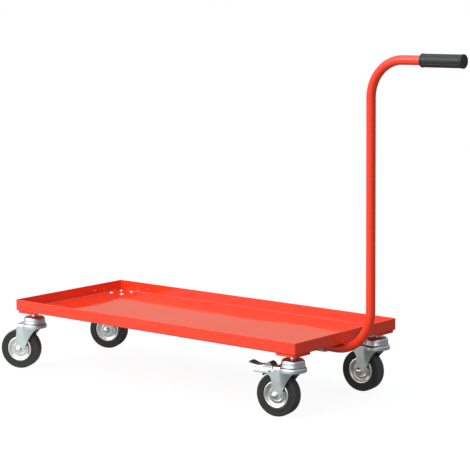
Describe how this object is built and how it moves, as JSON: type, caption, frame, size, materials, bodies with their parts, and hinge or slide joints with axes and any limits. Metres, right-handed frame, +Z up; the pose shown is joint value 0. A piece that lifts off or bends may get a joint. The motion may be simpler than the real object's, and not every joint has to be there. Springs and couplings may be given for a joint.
{
  "type": "wheel dolly",
  "caption": "Low four-wheel dolly: shallow folded sheet tray on swivel casters, braked at one end, pushed by a single bent tube handle with a plain grip.",
  "frame": {"origin": "bottom centre of the whole dolly: on the ground, midway along and across its outer box", "axes": "+X along the tray towards the push handle, +Y across the tray, +Z up"},
  "size_m": [1.2586, 0.3958, 0.8062],
  "materials": {
    "red_paint": "gloss powder coat",
    "red_tube_paint": "gloss powder coat",
    "zinc_plate": "bright zinc plate",
    "zinc_fork": "zinc plate, satin",
    "zinc_pedal": "zinc plate, satin",
    "zinc_rim": "bright zinc plate",
    "bright_screws": "bright zinc plate",
    "bearing_steel": "polished",
    "tyre_rubber": "matt moulded rubber",
    "brake_rubber": "matt",
    "grip_plastic": "fine ribbed texture",
    "nylon_bush": "satin"
  },
  "bodies": {
    "frame": {"tray": "red_paint", "mounting_plates": "red_paint", "plate_screws": "bright_screws", "handle_tube": "red_tube_paint", "handle_bearers": "red_paint", "handle_saddles": "zinc_plate", "saddle_bolts": "bright_screws", "handle_grip": "grip_plastic", "front_right_swivel_cup": "zinc_plate", "front_right_king_pin": "bright_screws", "back_right_swivel_cup": "zinc_plate", "back_right_king_pin": "bright_screws", "front_left_swivel_cup": "zinc_plate", "front_left_king_pin": "bright_screws", "back_left_swivel_cup": "zinc_plate", "back_left_king_pin": "bright_screws"},
    "front_right_caster": {"front_right_fork": "zinc_fork", "front_right_axle_bolt": "bright_screws", "front_right_axle_nut": "bright_screws", "front_right_axle_sleeve": "bright_screws", "front_right_race_balls": "bearing_steel", "front_right_brake_pin": "bright_screws"},
    "front_right_wheel": {"front_right_hub_bush": "nylon_bush", "front_right_rim_outer": "zinc_rim", "front_right_rim_inner": "zinc_rim", "front_right_tyre": "tyre_rubber"},
    "front_right_brake_lever": {"front_right_brake_pedal": "zinc_pedal", "front_right_brake_shoe": "brake_rubber"},
    "back_right_caster": {"back_right_fork": "zinc_fork", "back_right_axle_bolt": "bright_screws", "back_right_axle_nut": "bright_screws", "back_right_axle_sleeve": "bright_screws", "back_right_race_balls": "bearing_steel", "back_right_brake_pin": "bright_screws"},
    "back_right_wheel": {"back_right_hub_bush": "nylon_bush", "back_right_rim_outer": "zinc_rim", "back_right_rim_inner": "zinc_rim", "back_right_tyre": "tyre_rubber"},
    "back_right_brake_lever": {"back_right_brake_pedal": "zinc_pedal", "back_right_brake_shoe": "brake_rubber"},
    "front_left_caster": {"front_left_fork": "zinc_fork", "front_left_axle_bolt": "bright_screws", "front_left_axle_nut": "bright_screws", "front_left_axle_sleeve": "bright_screws", "front_left_race_balls": "bearing_steel"},
    "front_left_wheel": {"front_left_hub_bush": "nylon_bush", "front_left_rim_outer": "zinc_rim", "front_left_rim_inner": "zinc_rim", "front_left_tyre": "tyre_rubber"},
    "back_left_caster": {"back_left_fork": "zinc_fork", "back_left_axle_bolt": "bright_screws", "back_left_axle_nut": "bright_screws", "back_left_axle_sleeve": "bright_screws", "back_left_race_balls": "bearing_steel"},
    "back_left_wheel": {"back_left_hub_bush": "nylon_bush", "back_left_rim_outer": "zinc_rim", "back_left_rim_inner": "zinc_rim", "back_left_tyre": "tyre_rubber"}
  },
  "joints": [
    {"name": "front_right_swivel", "type": "hinge", "parent": "frame", "child": "front_right_caster", "pos_m": [0.28932, -0.14956, 0.1345], "axis": [0, 0, 1], "continuous": true},
    {"name": "front_right_wheel_spin", "type": "hinge", "parent": "front_right_caster", "child": "front_right_wheel", "pos_m": [0.25343, -0.15621, 0.05], "axis": [-0.1822, 0.9833, 0], "continuous": true},
    {"name": "front_right_brake", "type": "hinge", "parent": "front_right_caster", "child": "front_right_brake_lever", "pos_m": [0.24114, -0.15849, 0.106], "axis": [0.1822, -0.9833, 0], "range_deg": [0, 6]},
    {"name": "back_right_swivel", "type": "hinge", "parent": "frame", "child": "back_right_caster", "pos_m": [0.28932, 0.16544, 0.1345], "axis": [0, 0, 1], "continuous": true},
    {"name": "back_right_wheel_spin", "type": "hinge", "parent": "back_right_caster", "child": "back_right_wheel", "pos_m": [0.25302, 0.16163, 0.05], "axis": [-0.1045, 0.9945, 0], "continuous": true},
    {"name": "back_right_brake", "type": "hinge", "parent": "back_right_caster", "child": "back_right_brake_lever", "pos_m": [0.24059, 0.16032, 0.106], "axis": [0.1045, -0.9945, 0], "range_deg": [0, 6]},
    {"name": "front_left_swivel", "type": "hinge", "parent": "frame", "child": "front_left_caster", "pos_m": [-0.54568, -0.14956, 0.1345], "axis": [0, 0, 1], "continuous": true},
    {"name": "front_left_wheel_spin", "type": "hinge", "parent": "front_left_caster", "child": "front_left_wheel", "pos_m": [-0.57876, -0.16498, 0.05], "axis": [-0.4226, 0.9063, 0], "continuous": true},
    {"name": "back_left_swivel", "type": "hinge", "parent": "frame", "child": "back_left_caster", "pos_m": [-0.54568, 0.16544, 0.1345], "axis": [0, 0, 1], "continuous": true},
    {"name": "back_left_wheel_spin", "type": "hinge", "parent": "back_left_caster", "child": "back_left_wheel", "pos_m": [-0.57903, 0.1506, 0.05], "axis": [-0.4067, 0.9135, 0], "continuous": true}
  ]
}
